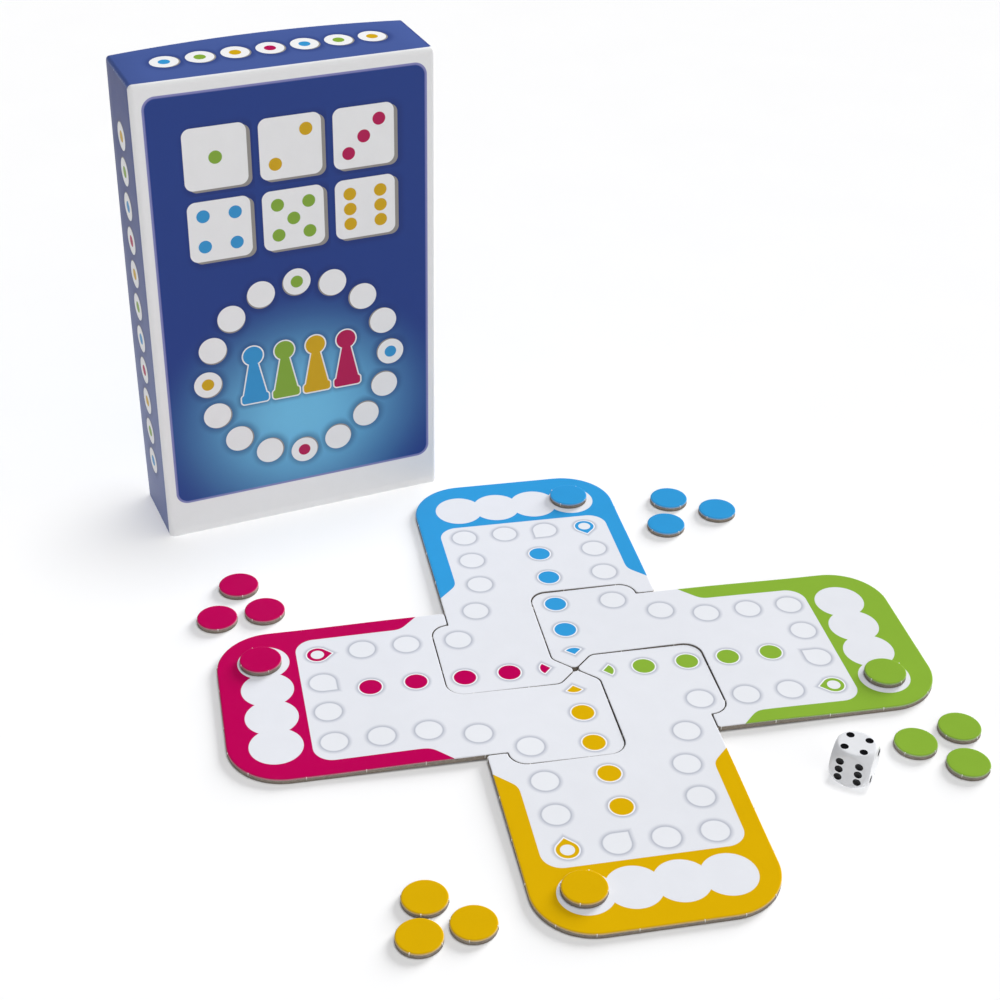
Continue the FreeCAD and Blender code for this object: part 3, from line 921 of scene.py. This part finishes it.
counter_draws = random.Random(16)
for colour, own in PLAYER_INKS.items():
    print_face = counter_print(colour, own)
    for number in range(1, 5):
        node = f"{colour}_counter_{number}"
        low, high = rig.box(node)
        place = Matrix.Translation(((low.x + high.x) / 2, (low.y + high.y) / 2, low.z))
        turn = Matrix.Rotation(counter_draws.uniform(0, math.tau), 4, "Z")
        nicks = [nick * COUNTER_STEPS // COUNTER_NICKS for nick in range(COUNTER_NICKS)]
        new_piece(f"{node}_disc", *punched(counter_outline, nicks, counter_draws),
                  [print_face, *under_print], node, node, f"{colour}_print", place @ turn)

# Die: one moulding of white plastic, its corners rounded to a ball when it was tumbled.
# Its pips are dished into the faces and filled with black paint.
DIE, DIE_BALL, DIE_EDGE = 14.0, 18.9, 0.4
DIE_TURN = -49.7
DIE_STEPS = 44
PIP_RADIUS, PIP_DEPTH, PIP_SPREAD = 1.4, 0.5, 3.3
PIP_SIDES = 32
DIE_FACES = [
    (Vector((0, 0, 1)), Vector((1, 0, 0)), [(1, 1), (-1, -1), (1, -1), (-1, 1)]),
    (Vector((0, 0, -1)), Vector((1, 0, 0)), [(1, 1), (-1, -1), (0, 0)]),
    (Vector((0, -1, 0)), Vector((1, 0, 0)), [(side, line) for side in (-1, 1) for line in (-1, 0, 1)]),
    (Vector((0, 1, 0)), Vector((1, 0, 0)), [(0, 0)]),
    (Vector((1, 0, 0)), Vector((0, 1, 0)), [(1, 1), (-1, -1)]),
    (Vector((-1, 0, 0)), Vector((0, 1, 0)), [(1, 1), (-1, -1), (1, -1), (-1, 1), (0, 0)]),
]


def moulded_plastic(name, colour, cloudy, roughness, gloss):
    """Glossy moulding with faint flow clouds and handling marks."""
    constants = {"Specular IOR Level": gloss, "Coat Weight": gloss / 3, "Coat Roughness": 0.08}
    material, place = new_finish(name, constants)
    cloud, scratch = place.noise(0.3, 3.0), place.noise(2.6, 6.0)
    feed(material, {
        "Base Color": cloud.mix(colour, cloudy),
        "Roughness": roughness + 0.14 * scratch,
        "Normal": relief(0.01 * scratch + 0.03 * cloud),
    })
    return material


def tumbled_cube():
    """Cube rounded by a ball, with soft rims round its flats: its points, and its faces."""
    points, faces, known = [], [], {}

    def point_number(direction):
        flat = DIE / 2 / max(map(abs, direction.normalized()))
        ball = DIE_BALL / 2
        blend = max(DIE_EDGE - abs(flat - ball), 0) / DIE_EDGE
        point = direction.normalized() * (min(flat, ball) - blend * blend * DIE_EDGE / 4)
        key = tuple(round(axis, 4) for axis in point)
        if key not in known:
            known[key] = len(points)
            points.append(point)
        return known[key]

    lines = [math.tan(math.radians(90 * step / DIE_STEPS - 45)) for step in range(DIE_STEPS + 1)]
    for normal, across, _ in DIE_FACES:
        up = normal.cross(across)
        grid = [[point_number(normal + across * u + up * v) for u in lines] for v in lines]
        for low, high in zip(grid, grid[1:]):
            for column in range(DIE_STEPS):
                faces.append(([low[column], low[column + 1], high[column + 1], high[column]], 0))
    return points, faces


def cut_pips(die, place, paint):
    """Cut the dishes into the die's faces and paint them."""
    dish = (PIP_RADIUS ** 2 + PIP_DEPTH ** 2) / (2 * PIP_DEPTH)
    form = bmesh.new()
    for normal, across, pips in DIE_FACES:
        up = normal.cross(across)
        for u, v in pips:
            middle = normal * (DIE / 2 + dish - PIP_DEPTH) + (across * u + up * v) * PIP_SPREAD
            lean = Matrix.Translation(middle * MM) @ normal.to_track_quat("Z", "Y").to_matrix().to_4x4()
            bmesh.ops.create_uvsphere(form, u_segments=PIP_SIDES, v_segments=PIP_SIDES, radius=dish * MM,
                                      matrix=lean)
    mesh = bpy.data.meshes.new("pip_dishes")
    form.to_mesh(mesh)
    form.free()
    mesh.materials.append(paint)
    dishes = bpy.data.objects.new("pip_dishes", mesh)
    bpy.context.scene.collection.objects.link(dishes)
    dishes.matrix_world = place
    cut = die.modifiers.new("pips", "BOOLEAN")
    cut.operation, cut.solver, cut.material_mode, cut.object = "DIFFERENCE", "EXACT", "TRANSFER", dishes
    die.data = bpy.data.meshes.new_from_object(die.evaluated_get(bpy.context.evaluated_depsgraph_get()))
    die.modifiers.clear()
    bpy.data.objects.remove(dishes)
    die.data.set_sharp_from_angle(angle=math.radians(30))


die_low, die_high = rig.box("die")
die_middle = (die_low + die_high) / 2
die_place = Matrix.Translation(die_middle) @ Matrix.Rotation(math.radians(DIE_TURN), 4, "Z")
die_plastic = moulded_plastic("die_white_plastic", ink(222, 224, 228), ink(232, 233, 236), 0.12, 0.5)
pip_paint = moulded_plastic("die_pip_paint", ink(10, 10, 13), ink(20, 20, 24), 0.16, 0.15)
die_piece = new_piece("die_moulding", *tumbled_cube(), [die_plastic], "die", "die", "die_plastic", die_place)
cut_pips(die_piece, die_place, pip_paint)

# Studio: a wide white table top under a soft sky that is brightest in front, with a broad low light
# from the back right and a high one overhead. The camera stands as the photograph's did.
FLOOR_SIDE = 12.0
SKY_EVEN, SKY_FRONT, SKY_TOP, SKY_FOCUS = 0.1, 0.65, 0.12, 4
LOW_FROM, LOW_SHARE, LOW_ANGLE = Vector((0.83, 0.46, 0.29)), 0.4, 0.45
HIGH_FROM, HIGH_SHARE, HIGH_ANGLE = Vector((0.15, 0.07, 0.98)), 0.41, 0.36
CAMERA_PLACE = Vector((-184.15, -622.12, 413.65))
CAMERA_TURN = (57.00768, -1.02508, -23.37609)
LENS, SENSOR = 66.51, 36.0


def floor_finish():
    """Matt white table top, a little uneven in tone."""
    material, place = new_finish("studio_floor", {"Specular IOR Level": 0.1})
    speck = place.noise(0.02, 3.0)
    feed(material, {
        "Base Color": speck.mix(ink(246, 246, 247), ink(248, 248, 248)),
        "Roughness": 0.7 + 0.1 * speck,
    })
    return material


floor_mesh = bpy.data.meshes.new("studio_floor")
half_floor = FLOOR_SIDE / 2
floor_corners = [(-half_floor, -half_floor, 0), (half_floor, -half_floor, 0),
                 (half_floor, half_floor, 0), (-half_floor, half_floor, 0)]
floor_mesh.from_pydata(floor_corners, [], [(0, 1, 2, 3)])
floor_mesh.materials.append(floor_finish())
floor = bpy.data.objects.new("studio_floor", floor_mesh)
bpy.context.scene.collection.objects.link(floor)
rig.stage(floor)

world = bpy.data.worlds.new("studio_sky")
world.use_nodes = True
sky_nodes = world.node_tree.nodes
_, towards_back, towards_top = Shade(sky_nodes.new("ShaderNodeTexCoord").outputs["Generated"]).axes()
sky = SKY_EVEN + SKY_FRONT * (-1 * towards_back).most(0) + SKY_TOP * towards_top.most(0) ** SKY_FOCUS
sky_nodes["Background"].inputs["Color"].default_value = (1.0, 1.0, 1.0, 1.0)
world.node_tree.links.new(sky.socket, sky_nodes["Background"].inputs["Strength"])
bpy.context.scene.world = world
bpy.context.scene.view_settings.view_transform = "Standard"


def studio_light(name, source, share, angle):
    """Broad light from a direction that gives the table its share of full white."""
    lamp = bpy.data.lights.new(name, "SUN")
    lamp.energy = share * math.pi / source.normalized().z
    lamp.angle = angle
    light = bpy.data.objects.new(name, lamp)
    bpy.context.scene.collection.objects.link(light)
    light.rotation_euler = source.to_track_quat("Z", "Y").to_euler()
    light.visible_glossy = False
    return light


studio_light("high_light", HIGH_FROM, HIGH_SHARE, HIGH_ANGLE)
low_light = studio_light("low_light", LOW_FROM, LOW_SHARE, LOW_ANGLE)
# Only the flat pieces shade the table from the low light, so no long shadow crosses the board
tall_pieces = bpy.data.collections.new("tall_pieces")
for piece in (box_lid, box_tray, leaflet, die_piece):
    tall_pieces.objects.link(piece)
for member in tall_pieces.collection_objects:
    member.light_linking.link_state = "EXCLUDE"
low_light.light_linking.blocker_collection = tall_pieces

camera_data = bpy.data.cameras.new("camera")
camera_data.lens = LENS
camera_data.sensor_width = SENSOR
camera = bpy.data.objects.new("camera", camera_data)
bpy.context.scene.collection.objects.link(camera)
camera.location = CAMERA_PLACE * MM
camera.rotation_euler = [math.radians(turn) for turn in CAMERA_TURN]
bpy.context.scene.camera = camera

with open("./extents.json", "w") as size_file:
    json.dump({"cad": [list(corner) for corner in cad_box],
               "visual": [list(corner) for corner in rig.bounds()]}, size_file)
